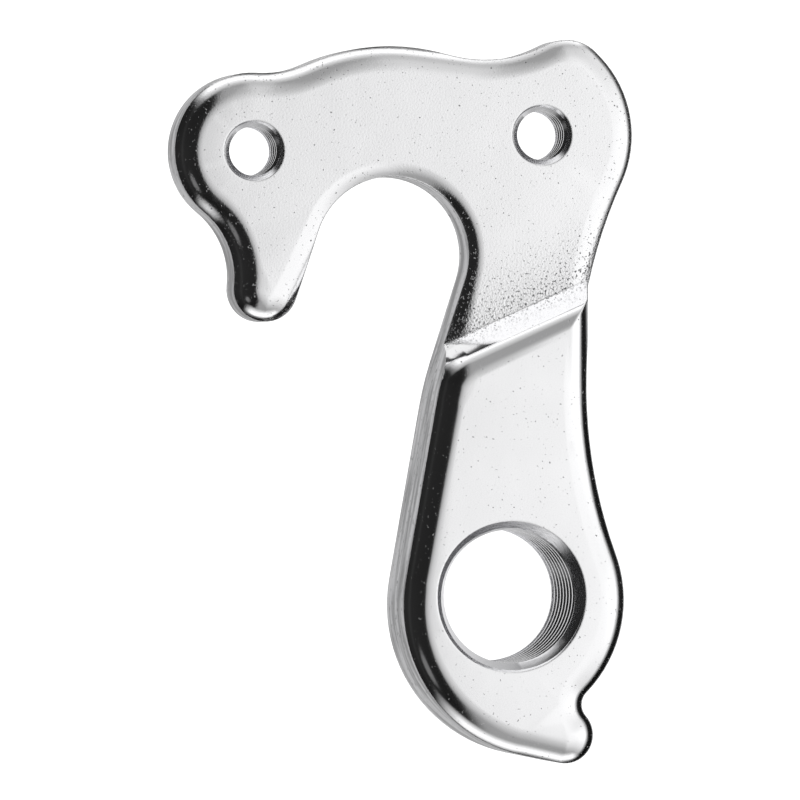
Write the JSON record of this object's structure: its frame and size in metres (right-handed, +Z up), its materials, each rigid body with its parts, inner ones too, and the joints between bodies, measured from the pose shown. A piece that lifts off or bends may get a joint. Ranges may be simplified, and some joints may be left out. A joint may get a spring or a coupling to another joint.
{
  "type": "bicycle derailleur hanger",
  "caption": "Forged derailleur hanger: a thin bolted plate around an open axle slot, with a drafted shoulder to a thicker arm that carries the derailleur thread and a stop claw.",
  "frame": {"origin": "on the axis of the derailleur thread, in the plane of the seat that the frame's dropout lies on", "axes": "+X to the rear of the bicycle, +Z up, +Y away from the wheel, along the derailleur bolt as it leaves"},
  "size_m": [0.0315, 0.0093, 0.049],
  "materials": {
    "forged_aluminium": "tumbled, bright satin"
  },
  "bodies": {
    "root": {"hanger": "forged_aluminium"}
  },
  "joints": []
}
